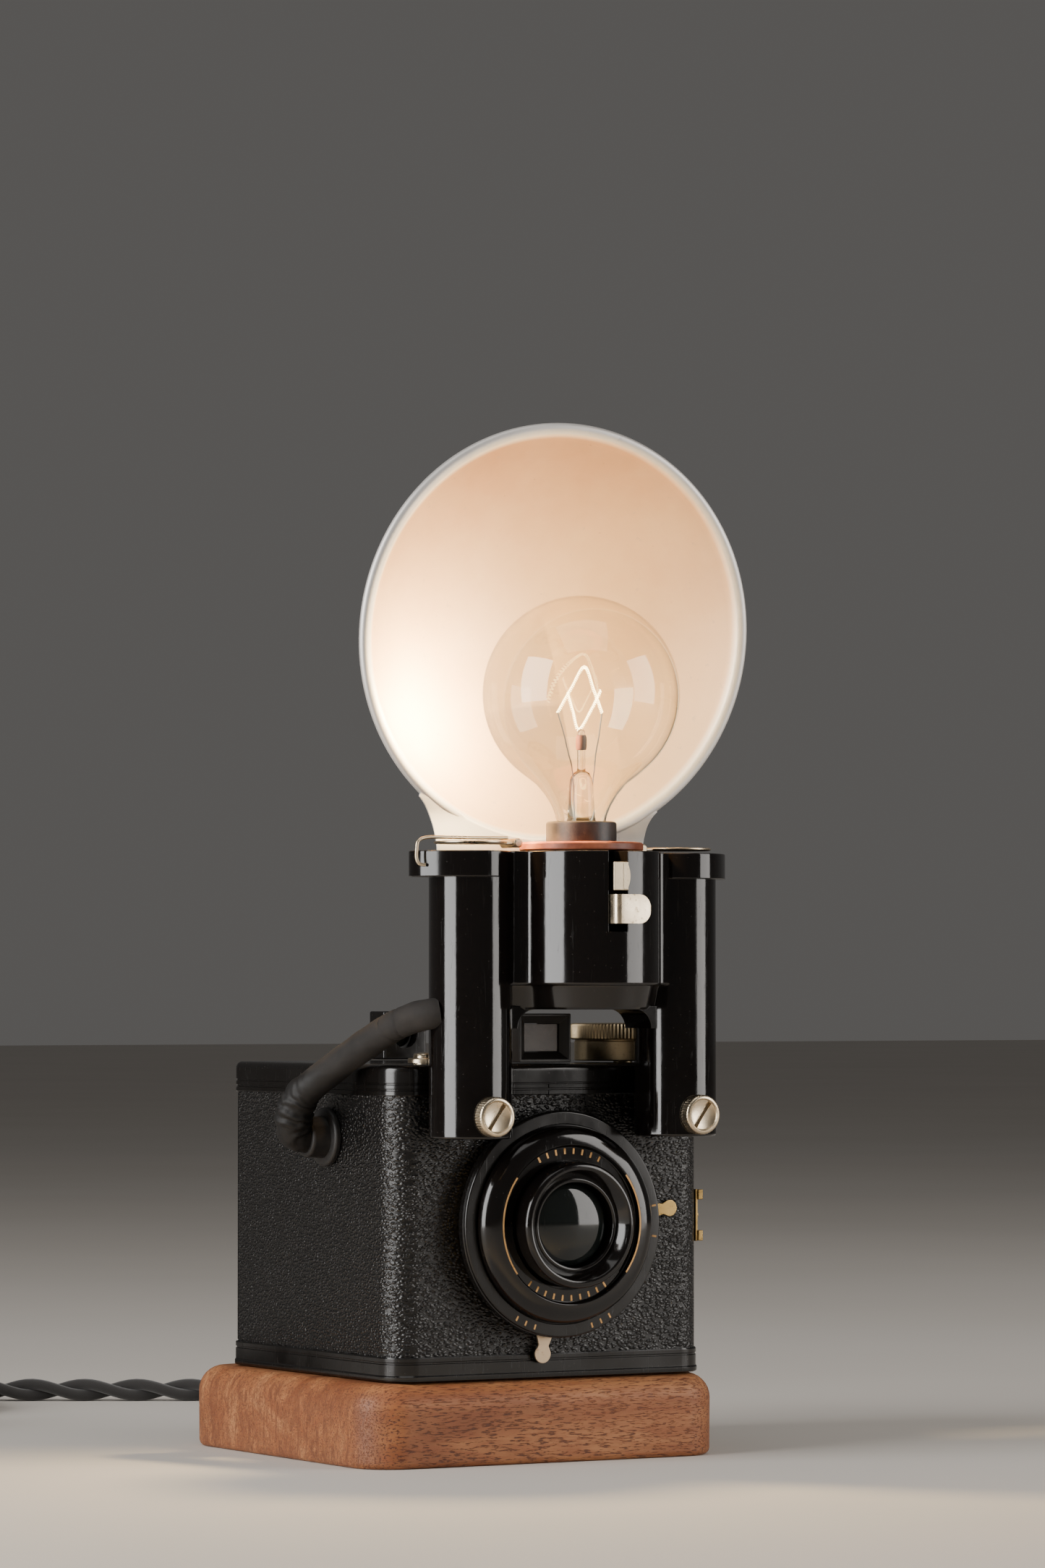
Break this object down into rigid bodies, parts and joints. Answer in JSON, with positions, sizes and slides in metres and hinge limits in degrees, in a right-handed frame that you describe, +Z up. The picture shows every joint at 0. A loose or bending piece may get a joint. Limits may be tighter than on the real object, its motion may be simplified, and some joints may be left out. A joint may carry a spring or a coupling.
{
  "type": "table lamp",
  "caption": "Table lamp made from a box camera with a twin-tube flash holder, dish reflector and clear globe bulb, on a wooden base with a twisted cloth cord.",
  "frame": {"origin": "bottom centre of the lamp without its cord", "axes": "+Z up, -Y the way the lens and the reflector face, +X to the right of someone facing the lens"},
  "size_m": [0.2401, 0.4204, 0.3272],
  "materials": {
    "wood": "satin varnished reddish wood",
    "leatherette": "black pebbled leatherette over sheet metal",
    "black_enamel": "satin black enamel",
    "bakelite": "polished black",
    "dark_metal": "matt dark paint",
    "nickel": "aged nickel plate",
    "brass": "dull brass",
    "steel": "plain",
    "aluminium": "satin spun",
    "fibre": "red-brown vulcanised fibre",
    "clear_glass": "clear",
    "red_window": "deep red",
    "black_rubber": "matt",
    "socket_black": "scuffed matt",
    "cord_cloth": "braided black cloth",
    "hot_wire": "glowing"
  },
  "bodies": {
    "lamp_body": {"wood_base": "wood", "base_bolt": "steel", "body_shell": "leatherette", "bottom_trim": "black_enamel", "top_cap": "black_enamel", "screw_insert_left": "brass", "screw_insert_right": "brass", "side_bracket": "brass", "hinge_pin": "steel", "film_frame": "dark_metal", "shutter_plate": "steel", "supply_spool": "dark_metal", "lens_neck": "black_enamel", "lens_flange": "black_enamel", "lens_bezel": "bakelite", "lens_barrel": "bakelite", "front_glass": "clear_glass", "finder_hood": "black_enamel", "finder_glass": "clear_glass", "finder_eyepiece": "black_enamel", "eyepiece_glass": "clear_glass", "button_collar": "nickel", "flash_holder": "bakelite", "upper_tab": "nickel", "fibre_plate": "fibre", "lamp_socket": "socket_black", "reflector_channel": "steel", "side_grommet": "black_rubber", "wire_sleeve": "black_rubber", "inner_lead": "cord_cloth", "strain_relief": "black_rubber", "cord_run": "cord_cloth", "cord_coil": "cord_cloth", "cord_tail": "cord_cloth", "plug_body": "bakelite", "plug_blade_left": "brass", "plug_blade_right": "brass"},
    "winder": {"winding_knob": "nickel", "takeup_spool": "dark_metal"},
    "speed_lever": {"speed_lever": "brass"},
    "focus_lever": {"focus_lever": "nickel"},
    "release_button": {"release_button": "nickel"},
    "ejector_lever": {"ejector_lever": "nickel"},
    "back_cover": {"back_cover": "leatherette", "frame_window": "red_window"},
    "back_latch": {"back_latch": "nickel"},
    "left_cap": {"left_cap": "nickel", "bail_wire": "nickel"},
    "right_cap": {"right_cap": "nickel"},
    "thumb_screw_left": {"thumb_screw_left": "nickel"},
    "thumb_screw_right": {"thumb_screw_right": "nickel"},
    "bulb": {"bulb_base": "brass", "bulb_glass": "clear_glass", "bulb_stem": "clear_glass", "filament": "hot_wire", "filament_loop": "hot_wire"},
    "reflector": {"reflector": "aluminium"}
  },
  "joints": [
    {"name": "winder_turn", "type": "hinge", "parent": "lamp_body", "child": "winder", "pos_m": [0.03968, -0.0183, 0.13], "axis": [0, 0, 1], "continuous": true},
    {"name": "speed_lever_swing", "type": "hinge", "parent": "lamp_body", "child": "speed_lever", "pos_m": [0.00267, -0.0374, 0.0745], "axis": [0, -1, 0], "range_deg": [-17, 0]},
    {"name": "focus_lever_swing", "type": "hinge", "parent": "lamp_body", "child": "focus_lever", "pos_m": [0.00267, -0.0386, 0.0745], "axis": [0, -1, 0], "range_deg": [0, 35]},
    {"name": "release_press", "type": "slide", "parent": "lamp_body", "child": "release_button", "axis": [0, 0, -1], "range_m": [0, 0.0016], "stiffness_N_per_m": 300, "springref_m": -0.001},
    {"name": "ejector_press", "type": "slide", "parent": "lamp_body", "child": "ejector_lever", "axis": [0, 0, -1], "range_m": [0, 0.0022], "stiffness_N_per_m": 300, "springref_m": -0.001},
    {"name": "back_cover_hinge", "type": "hinge", "parent": "lamp_body", "child": "back_cover", "pos_m": [0.06107, 0.0723, 0.075], "axis": [0, 0, -1], "range_deg": [0, 110]},
    {"name": "back_latch_slide", "type": "slide", "parent": "back_cover", "child": "back_latch", "axis": [1, 0, 0], "range_m": [0, 0.004]},
    {"name": "left_cap_hinge", "type": "hinge", "parent": "lamp_body", "child": "left_cap", "pos_m": [-0.01992, -0.0502, 0.1931], "axis": [0, 1, 0], "range_deg": [0, 75]},
    {"name": "right_cap_hinge", "type": "hinge", "parent": "lamp_body", "child": "right_cap", "pos_m": [0.02527, -0.0502, 0.1918], "axis": [0, -1, 0], "range_deg": [0, 75]},
    {"name": "thumb_screw_left_turn", "type": "hinge", "parent": "lamp_body", "child": "thumb_screw_left", "pos_m": [-0.03433, -0.0643, 0.1087], "axis": [0, -1, 0], "continuous": true},
    {"name": "thumb_screw_right_turn", "type": "hinge", "parent": "lamp_body", "child": "thumb_screw_right", "pos_m": [0.03968, -0.0643, 0.1087], "axis": [0, -1, 0], "continuous": true},
    {"name": "bulb_turn", "type": "hinge", "parent": "lamp_body", "child": "bulb", "pos_m": [0.00267, -0.0549, 0.197], "axis": [0, 0, 1], "continuous": true},
    {"name": "reflector_lift", "type": "slide", "parent": "lamp_body", "child": "reflector", "axis": [0, 0, 1], "range_m": [0, 0.018]}
  ]
}
